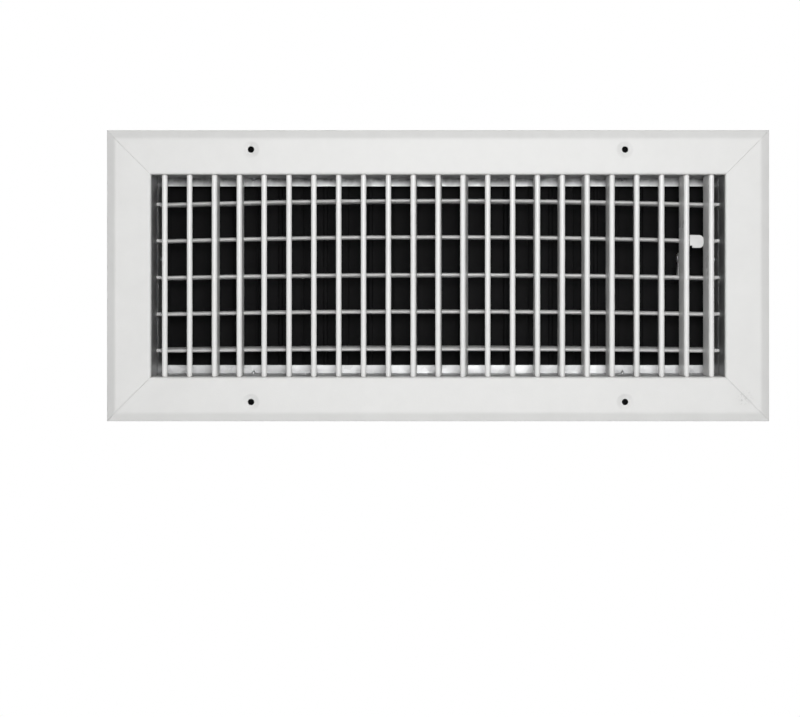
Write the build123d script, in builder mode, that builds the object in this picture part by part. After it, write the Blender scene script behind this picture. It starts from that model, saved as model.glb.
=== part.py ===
from build123d import *
import os
from math import asin, atan2, cos, degrees, radians, sin, sqrt

# Double deflection register for a 16 x 6 in duct, in millimetres.
# X runs along the face, Z is up, and Y is the depth behind the face plane (y = 0).

# Face frame
face_width = 450.85
face_height = 198.2
border_width = 30.2
face_rise = 6.5
plate_thickness = 1.8
bevel_width = 5.8
bevel_edge_height = 3.3
bevel_inner_share = 0.4
lip_radius = 1.8
crest_radius = 4.0
rim_radius = 1.0
neck_wall = 1.6
neck_depth = 40.0
mitre_gap = 0.05

# Screw holes in the long rails
screw_inset_x = 98.425
screw_inset_z = 13.375
screw_hole_radius = 2.2

# Corner keys, held between two ribs behind the face plate
key_inner_offset = 9.2
key_width = 11.0
key_clearance = 0.2
key_thickness = 2.0
key_leg = 30.0
key_rib = 1.2
key_rib_height = 2.4

# Strips that hold the blade pivots
pivot_pin_radius = 1.25
pivot_clearance = 0.05
pivot_pin_depth = 2.6
strip_thickness = 2.9
strip_recess = 0.1
strip_side_clearance = 0.1
front_strip_width = 4.4
rear_strip_width = 5.8
pocket_wall = 1.2

# Front blades, upright
front_blade_count = 23
front_blade_margin = 8.962
front_blade_setback = 2.5
front_nose_radius = 1.875
front_tail_radius = 0.45
front_tail_distance = 17.1
front_blade_end_gap = 0.45
front_blade_angles = [
    8.0, 8.0, -2.5, -2.3, 4.0, 3.0, 2.0, 1.5, 0.0, -1.0, -6.3, -7.2,
    -11.3, 0.0, -1.0, 4.8, 5.0, 6.4, 6.7, 0.0, -0.9, 6.9, 7.7,
]

# Rear blades, level, each bowed upwards at mid length
rear_blade_count = 5
rear_blade_top_margin = 19.3
rear_blade_bottom_margin = 16.9
rear_blade_setback = 24.0
rear_nose_radius = 1.875
rear_tail_radius = 0.45
rear_tail_distance = 17.1
rear_blade_end_gap = 0.5
rear_pin_root = 4.275
rear_blade_bows = [2.4, 2.6, 1.8, 1.5, 1.2]

# Damper frame, which laps over the end of the neck
damper_sheet = 1.0
damper_depth = 39.0
front_flange_drop = 5.6
front_flange_side = 5.2
rear_flange = 5.5
lap_length = 10.0
lap_width = 14.0
lap_inset = 65.225
corner_tab_length = 10.0
corner_tab_width = 18.0
corner_tab_setback = 28.0
corner_rivet_edge = 4.5
joint_gap = 0.1

# Damper blades, upright, linked in a row
damper_blade_count = 12
damper_blade_margin = 18.625
damper_blade_overlap = 1.5
damper_axis_setback = 19.0
damper_blade_tilt = 4.0
damper_blade_end_gap = 2.6
damper_rod_radius = 1.9
damper_hem_radius = 0.9
damper_pin_radius = 1.75
damper_pin_overhang = 1.0

# Link bar, below an ear folded from the foot of each damper blade
link_pin_inset = 4.95
link_pin_offset = 5.0
link_bar_width = 5.5
link_bar_thickness = 1.2
link_bar_overhang = 4.0
ear_width = 8.0
ear_length = 8.5
link_rivet_radius = 1.2
link_rivet_head_radius = 2.1
link_rivet_head = 0.7
link_clearance = 0.08

# Lever and its drive to the last damper blade
lever_sheet = 1.2
lever_gap_to_blade = 0.35
lever_pivot_lead = 7.5
lever_pivot_rise = 1.0
lever_reach = 55.0
lever_leg_length = 10.9
lever_lean = 1.5
lever_blade_clearance = 1.2255
damper_turn = 80.0
lever_arm_half_height = 1.75
lever_boss_radius = 4.0
lever_leg_half_width = 2.2
lever_tab_width = 9.4
lever_tab_height = 8.8
lever_tab_corner = 3.0
lever_tab_relief = 1.6
fork_slot_clearance = 0.5
fork_prong = 1.6
fork_rod_gap = 0.3
crank_pin_radius = 0.9
crank_ear_drop = 5.6
crank_pin_length = 10.0
crank_ear_margin = 0.9
crank_pocket_height = 9.5
crank_pocket_margin = 1.65
crank_pocket_depth = 1.3

# Hanger that carries the lever
hanger_sheet = 1.2
hanger_gap = 0.3
hanger_width = 12.0
hanger_foot = 10.0
hanger_end_radius = 4.2
hanger_rivet_edge = 3.0
pivot_rivet_radius = 1.5
pivot_rivet_clearance = 0.05
pivot_rivet_head_radius = 2.8
pivot_rivet_head = 0.8

# Fasteners
rivet_radius = 1.4
rivet_head_radius = 2.4
rivet_head = 0.6
neck_screw_radius = 1.6
neck_screw_clearance = 0.05
neck_screw_head_radius = 3.2
neck_screw_head = 1.4
neck_screw_head_taper = 20.0
neck_screw_length = 5.0

# Worked out from the sizes above
half_open_x = face_width / 2 - border_width
half_open_z = face_height / 2 - border_width
screw_spacing_x = face_width - 2 * screw_inset_x
screw_spacing_z = face_height - 2 * screw_inset_z
front_blade_pitch = 2 * (half_open_x - front_blade_margin) / (front_blade_count - 1)
rear_blade_span = 2 * half_open_z - rear_blade_top_margin - rear_blade_bottom_margin
rear_blade_pitch = rear_blade_span / (rear_blade_count - 1)
lap_row = (lap_inset - half_open_x, 0, half_open_x - lap_inset)
neck_end = face_rise + neck_depth
lap_depth = neck_end - lap_length / 2
strip_pocket = strip_thickness + strip_recess
front_axis_depth = front_blade_setback + front_nose_radius
rear_axis_depth = rear_blade_setback + rear_nose_radius
strip_face_x = half_open_x + strip_recess
strip_face_z = half_open_z + strip_recess
web_inner_x = half_open_x + neck_wall
web_inner_z = half_open_z + neck_wall
damper_blade_pitch = 2 * (web_inner_x - damper_blade_margin) / (damper_blade_count - 1)
damper_blade_width = damper_blade_pitch + damper_blade_overlap
link_pin_reach = damper_blade_width / 2 - link_pin_inset
web_outer_x = web_inner_x + damper_sheet
web_outer_z = web_inner_z + damper_sheet
damper_end = neck_end + damper_depth
damper_axis_depth = neck_end + damper_axis_setback
lever_pivot_depth = damper_axis_depth - lever_pivot_lead
last_damper_x = damper_blade_pitch * (damper_blade_count - 1) / 2
damper_half_height = web_inner_z - damper_blade_end_gap
lever_blade_x = front_blade_pitch * (front_blade_count // 2 - 1)
lever_left_x = lever_blade_x + front_nose_radius + lever_gap_to_blade
lever_right_x = lever_left_x + lever_sheet
hanger_left_x = lever_right_x + hanger_gap
hanger_right_x = hanger_left_x + hanger_sheet
rear_blade_z = [
    half_open_z - rear_blade_top_margin - rear_blade_pitch * number for number in range(rear_blade_count)
]
lever_row_middle = (rear_blade_z[rear_blade_count // 2 - 1] + rear_blade_z[rear_blade_count // 2]) / 2
end_lap_height = lever_row_middle
lever_pivot_height = lever_row_middle + lever_pivot_rise
arm_room = rear_blade_pitch / 2 - rear_nose_radius - lever_arm_half_height - lever_blade_clearance
half_swing = degrees(atan2(arm_room, lever_pivot_depth - rear_blade_setback))
lever_swing = 2 * half_swing
lever_rest_angle = half_swing - lever_lean
fork_level = lever_pivot_height - lever_leg_length
crank_ear_level = fork_level - crank_ear_drop
crank_ear_reach = crank_pin_radius + crank_ear_margin
crank_pocket_width = last_damper_x - damper_rod_radius - lever_left_x + crank_pocket_margin

os.makedirs("parts", exist_ok=True)


def save(builder, name):
    builder.part.label = name
    export_step(builder.part, f"parts/{name}.step")


def frame_profile(plane, side, half_open, axis_depth, pocket_width):
    """Section of a frame rail, drawn as depth against distance from the middle of the face."""

    def at(depth, outward):
        return (depth, side * (half_open + outward))

    edge = face_rise - bevel_edge_height
    flat = border_width - bevel_width
    inside = plate_thickness * bevel_inner_share
    with BuildSketch(plane) as section:
        with BuildLine():
            Polyline(
                at(0, 0),
                at(0, flat),
                at(edge, border_width),
                at(face_rise, border_width),
                at(face_rise, border_width - plate_thickness),
                at(edge + inside, border_width - plate_thickness),
                at(plate_thickness, flat - inside),
                at(plate_thickness, neck_wall),
                at(neck_end, neck_wall),
                at(neck_end, 0),
                close=True,
            )
        make_face()
        key_outer = key_inner_offset + key_width + 2 * key_clearance
        for rib_start in (key_inner_offset - key_rib, key_outer):
            with Locations(at(plate_thickness + key_rib_height / 2, rib_start + key_rib / 2)):
                Rectangle(key_rib_height, key_rib)
        with Locations(at(axis_depth, (strip_pocket + pocket_wall) / 2)):
            Rectangle(pocket_width + 2 * pocket_wall, strip_pocket + pocket_wall)
        with Locations(at(axis_depth, strip_pocket / 2)):
            Rectangle(pocket_width, strip_pocket, mode=Mode.SUBTRACT)
        rim = section.vertices().sort_by(lambda v: abs(v.Y))[-2:].sort_by(Axis.X)[0]
        fillet(rim, radius=rim_radius)
        crest = section.vertices().sort_by(Axis.X)[0:2].sort_by(lambda v: abs(v.Y))[1]
        fillet(crest, radius=crest_radius)
        lip = section.vertices().sort_by(Axis.X)[0:2].sort_by(lambda v: abs(v.Y))[0]
        fillet(lip, radius=lip_radius)
    return section.sketch


def mitred(half_open_long, half_open_short, side):
    """Outline of one rail between its two mitre cuts, long axis first."""
    inner = half_open_long - mitre_gap
    outer = half_open_long + border_width - mitre_gap
    near = side * half_open_short
    far = side * (half_open_short + border_width)
    return [
        (-inner + neck_wall, near - side * neck_wall),
        (-outer, far),
        (outer, far),
        (inner - neck_wall, near - side * neck_wall),
    ]


# Long rails: top and bottom, with the pocket for the front pivot strip
for name, side in (("frame_rail_top", 1), ("frame_rail_bottom", -1)):
    rail_start = Plane.YZ.offset(-face_width / 2)
    pocket_width = front_strip_width + 2 * strip_side_clearance
    profile = frame_profile(rail_start, side, half_open_z, front_axis_depth, pocket_width)
    with BuildPart() as rail:
        extrude(profile, amount=face_width, dir=(1, 0, 0))
        with BuildSketch(Plane.XZ.offset(-neck_end)):
            with BuildLine():
                Polyline(*mitred(half_open_x, half_open_z, side), close=True)
            make_face()
        extrude(amount=neck_end, mode=Mode.INTERSECT)
        for screw_x in (-screw_spacing_x / 2, screw_spacing_x / 2):
            mouth = Plane(origin=(screw_x, 0, side * screw_spacing_z / 2), z_dir=(0, -1, 0))
            with Locations(mouth):
                Hole(screw_hole_radius, depth=face_rise)
        for lap_x in lap_row:
            with Locations(Plane(origin=(lap_x, lap_depth, side * web_inner_z), z_dir=(0, 0, side))):
                Hole(neck_screw_radius + neck_screw_clearance, depth=2 * neck_wall)
    save(rail, name)

# Short rails: left and right, with the pocket for the rear pivot strip
for name, side in (("frame_rail_left", -1), ("frame_rail_right", 1)):
    rail_start = Plane(origin=(0, 0, face_height / 2), x_dir=(0, 1, 0), z_dir=(0, 0, -1))
    pocket_width = rear_strip_width + 2 * strip_side_clearance
    profile = frame_profile(rail_start, side, half_open_x, rear_axis_depth, pocket_width)
    with BuildPart() as rail:
        extrude(profile, amount=face_height, dir=(0, 0, -1))
        with BuildSketch(Plane.XZ.offset(-neck_end)):
            with BuildLine():
                corners = mitred(half_open_z, half_open_x, side)
                Polyline(*[(across, along) for along, across in corners], close=True)
            make_face()
        extrude(amount=neck_end, mode=Mode.INTERSECT)
        with Locations(Plane(origin=(side * web_inner_x, lap_depth, end_lap_height), z_dir=(side, 0, 0))):
            Hole(neck_screw_radius + neck_screw_clearance, depth=2 * neck_wall)
    save(rail, name)

# Corner keys: one flat angle across the back of each mitre
key_outer_x = half_open_x + key_inner_offset + key_clearance + key_width
key_outer_z = half_open_z + key_inner_offset + key_clearance + key_width
with BuildPart() as corner_keys:
    for side_x in (-1, 1):
        for side_z in (-1, 1):
            with BuildSketch(Plane.XZ.offset(-plate_thickness)):
                with BuildLine():
                    Polyline(
                        (side_x * key_outer_x, side_z * key_outer_z),
                        (side_x * (key_outer_x - key_leg), side_z * key_outer_z),
                        (side_x * (key_outer_x - key_leg), side_z * (key_outer_z - key_width)),
                        (side_x * (key_outer_x - key_width), side_z * (key_outer_z - key_width)),
                        (side_x * (key_outer_x - key_width), side_z * (key_outer_z - key_leg)),
                        (side_x * key_outer_x, side_z * (key_outer_z - key_leg)),
                        close=True,
                    )
                make_face()
            extrude(amount=-key_thickness)
save(corner_keys, "corner_keys")

# Pivot strips for the front blades, in the long rails
front_blade_x = [
    front_blade_pitch * (number - (front_blade_count - 1) / 2) for number in range(front_blade_count)
]
for name, side in (("front_pivot_strip_top", 1), ("front_pivot_strip_bottom", -1)):
    with BuildPart() as strip:
        with BuildSketch(Plane.XY.offset(side * strip_face_z)):
            with Locations((0, front_axis_depth)):
                Rectangle(2 * half_open_x - 2 * strip_recess, front_strip_width)
            with Locations(*[(blade_x, front_axis_depth) for blade_x in front_blade_x]):
                Circle(pivot_pin_radius + pivot_clearance, mode=Mode.SUBTRACT)
        extrude(amount=side * strip_thickness)
    save(strip, name)

# Pivot strips for the rear blades, in the short rails
for name, side in (("rear_pivot_strip_left", -1), ("rear_pivot_strip_right", 1)):
    with BuildPart() as strip:
        with BuildSketch(Plane.YZ.offset(side * strip_face_x)):
            with Locations((rear_axis_depth, 0)):
                Rectangle(rear_strip_width, 2 * half_open_z - 2 * strip_recess)
            with Locations(*[(rear_axis_depth, blade_z) for blade_z in rear_blade_z]):
                Circle(pivot_pin_radius + pivot_clearance, mode=Mode.SUBTRACT)
        extrude(amount=side * strip_thickness)
    save(strip, name)

# Front blades: an upright teardrop section with a pivot pin at each end
front_blade_half = strip_face_z - front_blade_end_gap
front_pin_end = strip_face_z + pivot_pin_depth
for number, (blade_x, angle) in enumerate(zip(front_blade_x, front_blade_angles), start=1):
    turned = (cos(radians(angle)), sin(radians(angle)), 0)
    with BuildPart() as front_blade:
        foot = Plane(origin=(blade_x, front_axis_depth, -front_blade_half), x_dir=turned, z_dir=(0, 0, 1))
        with BuildSketch(foot):
            Circle(front_nose_radius)
            with Locations((0, front_tail_distance)):
                Circle(front_tail_radius)
            make_hull()
        extrude(amount=2 * front_blade_half)
        with BuildSketch(Plane.XY.offset(-front_pin_end)):
            with Locations((blade_x, front_axis_depth)):
                Circle(pivot_pin_radius)
        extrude(amount=2 * front_pin_end)
    save(front_blade, f"front_blade_{number:02d}")

# Rear blades: the same kind of section swept along a shallow bow
rear_blade_half = strip_face_x - rear_blade_end_gap
rear_pin_end = strip_face_x + pivot_pin_depth
for number, (blade_z, bow) in enumerate(zip(rear_blade_z, rear_blade_bows), start=1):
    with BuildPart() as rear_blade:
        with BuildLine() as bowed:
            ThreePointArc(
                (-rear_blade_half, rear_axis_depth, blade_z),
                (0, rear_axis_depth, blade_z + bow),
                (rear_blade_half, rear_axis_depth, blade_z),
            )
        blade_start = Plane(origin=bowed.line @ 0, x_dir=(0, 1, 0), z_dir=bowed.line % 0)
        with BuildSketch(blade_start):
            Circle(rear_nose_radius)
            with Locations((rear_tail_distance, 0)):
                Circle(rear_tail_radius)
            make_hull()
        sweep()
        for side in (-1, 1):
            inner = side * (rear_blade_half - rear_pin_root)
            with BuildSketch(Plane.YZ.offset(inner)):
                with Locations((rear_axis_depth, blade_z)):
                    Circle(pivot_pin_radius)
            extrude(amount=side * (rear_pin_end - abs(inner)))
    save(rear_blade, f"rear_blade_{number}")

# Long channels of the damper frame: web, two flanges and laps over the neck
damper_blade_x = [
    damper_blade_pitch * (number - (damper_blade_count - 1) / 2) for number in range(damper_blade_count)
]
channel_half = web_inner_x - joint_gap
corner_rivet_x = web_inner_x - corner_tab_length / 2
corner_tab_depth = neck_end + corner_tab_setback
corner_rivet_reach = corner_tab_width / 2 - corner_rivet_edge
corner_rivet_depths = [corner_tab_depth - corner_rivet_reach, corner_tab_depth + corner_rivet_reach]
hanger_rivet_x = hanger_left_x - hanger_foot / 2
hanger_rivet_reach = hanger_width / 2 - hanger_rivet_edge
hanger_rivet_depths = [lever_pivot_depth - hanger_rivet_reach, lever_pivot_depth + hanger_rivet_reach]
for name, side in (("damper_channel_top", 1), ("damper_channel_bottom", -1)):
    with BuildPart() as channel:
        with BuildSketch(Plane.YZ):
            with BuildLine():
                Polyline(
                    (neck_end, side * (half_open_z - front_flange_drop)),
                    (neck_end, side * web_outer_z),
                    (damper_end, side * web_outer_z),
                    (damper_end, side * (web_outer_z - rear_flange)),
                    (damper_end - damper_sheet, side * (web_outer_z - rear_flange)),
                    (damper_end - damper_sheet, side * web_inner_z),
                    (neck_end + damper_sheet, side * web_inner_z),
                    (neck_end + damper_sheet, side * (half_open_z - front_flange_drop)),
                    close=True,
                )
            make_face()
        extrude(amount=channel_half, both=True)
        with BuildSketch(Plane.XY.offset(side * web_inner_z)):
            with Locations(*[(lap_x, lap_depth) for lap_x in lap_row]):
                Rectangle(lap_width, lap_length)
        extrude(amount=side * damper_sheet)
        with BuildSketch(Plane.XY.offset(side * web_inner_z)):
            with Locations(*[(blade_x, damper_axis_depth) for blade_x in damper_blade_x]):
                Circle(damper_pin_radius + pivot_clearance)
            with Locations(*[(lap_x, lap_depth) for lap_x in lap_row]):
                Circle(neck_screw_radius + neck_screw_clearance)
            for rivet_x in (-corner_rivet_x, corner_rivet_x):
                with Locations(*[(rivet_x, depth) for depth in corner_rivet_depths]):
                    Circle(rivet_radius)
            if side > 0:
                with Locations(*[(hanger_rivet_x, depth) for depth in hanger_rivet_depths]):
                    Circle(rivet_radius)
        extrude(amount=side * damper_sheet, mode=Mode.SUBTRACT)
    save(channel, name)

# End channels of the damper frame, with a tab under each long web
flange_clear_z = half_open_z - front_flange_drop - joint_gap
rear_flange_clear_z = web_outer_z - rear_flange - joint_gap
for name, side in (("damper_end_left", -1), ("damper_end_right", 1)):
    with BuildPart() as end_channel:
        with BuildSketch(Plane.YZ.offset(side * web_inner_x)):
            with Locations(((neck_end + damper_end) / 2, 0)):
                Rectangle(damper_depth, 2 * web_outer_z)
            with Locations((lap_depth, end_lap_height)):
                Rectangle(lap_length, lap_width)
                Circle(neck_screw_radius + neck_screw_clearance, mode=Mode.SUBTRACT)
        extrude(amount=side * damper_sheet)
        with BuildSketch(Plane.XZ.offset(-neck_end)):
            with Locations((side * (web_outer_x + half_open_x - front_flange_side) / 2, 0)):
                Rectangle(web_outer_x - half_open_x + front_flange_side, 2 * flange_clear_z)
        extrude(amount=-damper_sheet)
        with BuildSketch(Plane.XZ.offset(-damper_end)):
            with Locations((side * (web_outer_x - rear_flange / 2), 0)):
                Rectangle(rear_flange, 2 * rear_flange_clear_z)
        extrude(amount=damper_sheet)
        tab_length = corner_tab_length + damper_sheet
        for level in (-1, 1):
            with BuildSketch(Plane.XY.offset(level * web_inner_z)):
                with Locations((side * (web_outer_x - tab_length / 2), corner_tab_depth)):
                    Rectangle(tab_length, corner_tab_width)
                with Locations(*[(side * corner_rivet_x, depth) for depth in corner_rivet_depths]):
                    Circle(rivet_radius, mode=Mode.SUBTRACT)
            extrude(amount=-level * damper_sheet)
    save(end_channel, name)

# Hanger: a plate on edge below the top web, with a bent foot
with BuildPart() as lever_hanger:
    with BuildSketch(Plane.YZ.offset(hanger_left_x)):
        with Locations((lever_pivot_depth, (lever_pivot_height + web_inner_z) / 2)):
            Rectangle(hanger_width, web_inner_z - lever_pivot_height)
        with Locations((lever_pivot_depth, lever_pivot_height)):
            Circle(hanger_end_radius)
            Circle(pivot_rivet_radius, mode=Mode.SUBTRACT)
    extrude(amount=hanger_sheet)
    with BuildSketch(Plane.XY.offset(web_inner_z)):
        with Locations((hanger_right_x - (hanger_foot + hanger_sheet) / 2, lever_pivot_depth)):
            Rectangle(hanger_foot + hanger_sheet, hanger_width)
        with Locations(*[(hanger_rivet_x, depth) for depth in hanger_rivet_depths]):
            Circle(rivet_radius, mode=Mode.SUBTRACT)
    extrude(amount=-damper_sheet)
save(lever_hanger, "lever_hanger")

# Pivot rivet of the lever, through the lever and the hanger
with BuildPart() as lever_pivot_rivet:
    pivot_left = lever_left_x - pivot_rivet_clearance
    for start_x, end_x, radius in (
        (pivot_left, hanger_right_x, pivot_rivet_radius),
        (pivot_left - pivot_rivet_head, pivot_left, pivot_rivet_head_radius),
        (hanger_right_x, hanger_right_x + pivot_rivet_head, pivot_rivet_head_radius),
    ):
        with BuildSketch(Plane.YZ.offset(start_x)):
            with Locations((lever_pivot_depth, lever_pivot_height)):
                Circle(radius)
        extrude(amount=end_x - start_x)
save(lever_pivot_rivet, "lever_pivot_rivet")

# Lever: an arm to the finger tab, and a leg whose fork holds the crank pin
middle_angle = radians(lever_rest_angle - half_swing)
leg_back = damper_axis_depth - lever_pivot_depth
fork_x = -leg_back * cos(middle_angle) - lever_leg_length * sin(middle_angle)
fork_y = leg_back * sin(middle_angle) - lever_leg_length * cos(middle_angle)
rest = radians(lever_rest_angle)
arm_forward = Vector(0, -cos(rest), sin(rest))
arm_up = Vector(0, sin(rest), cos(rest))
lever_pivot = Vector(lever_right_x, lever_pivot_depth, lever_pivot_height)
fork_centre = lever_pivot + arm_forward * fork_x + arm_up * fork_y
fork_tip_x = last_damper_x - damper_rod_radius - fork_rod_gap
with BuildPart() as damper_lever:
    with BuildSketch(Plane(origin=lever_pivot, x_dir=arm_forward, z_dir=(-1, 0, 0))):
        with BuildSketch(mode=Mode.PRIVATE) as arm:
            Circle(lever_arm_half_height)
            with Locations((lever_reach - lever_arm_half_height, 0)):
                Circle(lever_arm_half_height)
            make_hull()
        with BuildSketch(mode=Mode.PRIVATE) as leg:
            Circle(lever_leg_half_width)
            with Locations((fork_x, fork_y)):
                Circle(lever_leg_half_width)
            make_hull()
        add(arm.sketch)
        add(leg.sketch)
        Circle(lever_boss_radius)
        Circle(pivot_rivet_radius + pivot_rivet_clearance, mode=Mode.SUBTRACT)
    extrude(amount=lever_sheet)
    tab_origin = lever_pivot + arm_forward * (lever_reach - lever_sheet)
    with BuildSketch(Plane(origin=tab_origin, x_dir=(1, 0, 0), z_dir=arm_forward)):
        with Locations((lever_tab_width / 2 - lever_sheet, 0)):
            tab = Rectangle(lever_tab_width, lever_tab_height)
            fillet(tab.vertices().group_by(Axis.X)[-1], radius=lever_tab_corner)
        with Locations((-lever_sheet, -lever_tab_height / 2)):
            Rectangle(2 * lever_tab_relief, 2 * lever_tab_relief, mode=Mode.SUBTRACT)
    extrude(amount=lever_sheet)
    fork_up = (0, sin(radians(half_swing)), cos(radians(half_swing)))
    fork_origin = (lever_left_x, fork_centre.Y, fork_centre.Z)
    with BuildSketch(Plane(origin=fork_origin, x_dir=(1, 0, 0), z_dir=fork_up)):
        slot_width = 2 * (crank_pin_radius + fork_slot_clearance)
        with Locations(((fork_tip_x - lever_left_x) / 2, 0)):
            Rectangle(fork_tip_x - lever_left_x, slot_width + 2 * fork_prong)
        with Locations((fork_tip_x - lever_left_x, 0)):
            Rectangle(2 * (fork_tip_x - lever_right_x - hanger_gap), slot_width, mode=Mode.SUBTRACT)
    extrude(amount=lever_sheet / 2, both=True)
save(damper_lever, "damper_lever")

# Angle and reach of the crank pin that the fork drives
pin_back_shut = damper_axis_depth - fork_centre.Y
opened = fork_centre.rotate(Axis(lever_pivot, (1, 0, 0)), lever_swing)
pin_back_open = opened.Y - damper_axis_depth
crank_ratio = pin_back_open / pin_back_shut
turn = radians(damper_turn)
crank_start = asin(sin(turn) / sqrt(1 + crank_ratio**2 + 2 * crank_ratio * cos(turn)))
crank_reach = pin_back_shut / sin(crank_start)
tilt = radians(-damper_blade_tilt)

# Damper blades: sheet round a pivot rod, with hemmed edges and an ear for the link bar
for number, blade_x in enumerate(damper_blade_x, start=1):
    blade_plane = Plane(
        origin=(blade_x, damper_axis_depth, -damper_half_height),
        x_dir=(cos(tilt), sin(tilt), 0),
        z_dir=(0, 0, 1),
    )
    hem_at = damper_blade_width / 2 - damper_hem_radius
    with BuildPart() as damper_blade:
        with BuildSketch(blade_plane):
            Rectangle(2 * hem_at, damper_sheet)
            Circle(damper_rod_radius)
            with Locations((-hem_at, 0), (hem_at, 0)):
                Circle(damper_hem_radius)
        extrude(amount=2 * damper_half_height)
        with BuildSketch(blade_plane.offset(-damper_pin_overhang - damper_blade_end_gap - damper_sheet)):
            Circle(damper_pin_radius)
        extrude(amount=2 * (damper_half_height + damper_blade_end_gap + damper_sheet + damper_pin_overhang))
        with BuildSketch(blade_plane):
            with Locations((link_pin_reach, damper_sheet / 2 - ear_length / 2)):
                Rectangle(ear_width, ear_length)
            with Locations((link_pin_reach, -link_pin_offset)):
                Circle(link_rivet_radius + link_clearance, mode=Mode.SUBTRACT)
        extrude(amount=damper_sheet)
        if number == damper_blade_count:
            crank_height = crank_ear_level + damper_half_height
            crank_angle = crank_start - tilt
            pin_x = -crank_reach * cos(crank_angle)
            pin_y = -crank_reach * sin(crank_angle)
            pocket_x = -damper_rod_radius - crank_pocket_width / 2
            pocket_back = crank_pocket_depth + damper_sheet
            with BuildSketch(blade_plane.offset(crank_height - damper_sheet)):
                with Locations((pocket_x, (pocket_back - damper_sheet / 2) / 2)):
                    Rectangle(crank_pocket_width + 2 * damper_sheet, pocket_back + damper_sheet / 2)
            extrude(amount=crank_pocket_height + 2 * damper_sheet)
            with BuildSketch(blade_plane.offset(crank_height)):
                with Locations((pocket_x, crank_pocket_depth / 2 - damper_rod_radius)):
                    Rectangle(crank_pocket_width, crank_pocket_depth + 2 * damper_rod_radius)
            extrude(amount=crank_pocket_height, mode=Mode.SUBTRACT)
            with BuildSketch(blade_plane.offset(crank_height - damper_sheet)):
                with Locations((pin_x, (pin_y - crank_ear_reach) / 2)):
                    Rectangle(2 * crank_ear_reach, -pin_y + crank_ear_reach)
            extrude(amount=damper_sheet)
            with BuildSketch(blade_plane.offset(crank_height - damper_sheet / 2)):
                with Locations((pin_x, pin_y)):
                    Circle(crank_pin_radius)
            extrude(amount=crank_pin_length + damper_sheet / 2)
    save(damper_blade, f"damper_blade_{number:02d}")

# Link bar and its rivets
link_pin_x = link_pin_reach * cos(tilt) + link_pin_offset * sin(tilt)
link_pin_depth = damper_axis_depth + link_pin_reach * sin(tilt) - link_pin_offset * cos(tilt)
link_pins = [(blade_x + link_pin_x, link_pin_depth) for blade_x in damper_blade_x]
bar_top = -damper_half_height - link_clearance
bar_bottom = bar_top - link_bar_thickness
ear_top = damper_sheet - damper_half_height + link_clearance
with BuildPart() as link_bar:
    with BuildSketch(Plane.XY.offset(bar_bottom)):
        with Locations((link_pin_x, link_pin_depth)):
            SlotOverall(2 * (last_damper_x + link_bar_overhang), link_bar_width)
        with Locations(*link_pins):
            Circle(link_rivet_radius, mode=Mode.SUBTRACT)
    extrude(amount=link_bar_thickness)
save(link_bar, "link_bar")

with BuildPart() as link_rivets:
    for low, high, radius in (
        (bar_bottom, ear_top, link_rivet_radius),
        (bar_bottom - link_rivet_head, bar_bottom, link_rivet_head_radius),
        (ear_top, ear_top + link_rivet_head, link_rivet_head_radius),
    ):
        with BuildSketch(Plane.XY.offset(low)):
            with Locations(*link_pins):
                Circle(radius)
        extrude(amount=high - low)
save(link_rivets, "link_rivets")

# Rivets of the damper frame and of the hanger's foot
rivet_spots = [
    (side * corner_rivet_x, depth, level)
    for side in (-1, 1)
    for level in (-1, 1)
    for depth in corner_rivet_depths
]
rivet_spots += [(hanger_rivet_x, depth, 1) for depth in hanger_rivet_depths]
with BuildPart() as damper_rivets:
    for rivet_x, depth, level in rivet_spots:
        inner = web_inner_z - damper_sheet
        for low, high, radius in (
            (inner, web_outer_z, rivet_radius),
            (inner - rivet_head, inner, rivet_head_radius),
            (web_outer_z, web_outer_z + rivet_head, rivet_head_radius),
        ):
            with BuildSketch(Plane.XY.offset(level * low)):
                with Locations((rivet_x, depth)):
                    Circle(radius)
            extrude(amount=level * (high - low))
save(damper_rivets, "damper_rivets")

# Screws that hold the laps to the neck
screw_planes = [
    Plane(origin=(lap_x, lap_depth, side * web_outer_z), x_dir=(1, 0, 0), z_dir=(0, 0, side))
    for side in (-1, 1)
    for lap_x in lap_row
]
screw_planes += [
    Plane(origin=(side * web_outer_x, lap_depth, end_lap_height), z_dir=(side, 0, 0))
    for side in (-1, 1)
]
with BuildPart() as damper_screws:
    for seat in screw_planes:
        with BuildSketch(seat):
            Circle(neck_screw_head_radius)
        extrude(amount=neck_screw_head, taper=neck_screw_head_taper)
        with BuildSketch(seat):
            Circle(neck_screw_radius)
        extrude(amount=-neck_screw_length)
save(damper_screws, "damper_screws")
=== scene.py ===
import math

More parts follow.
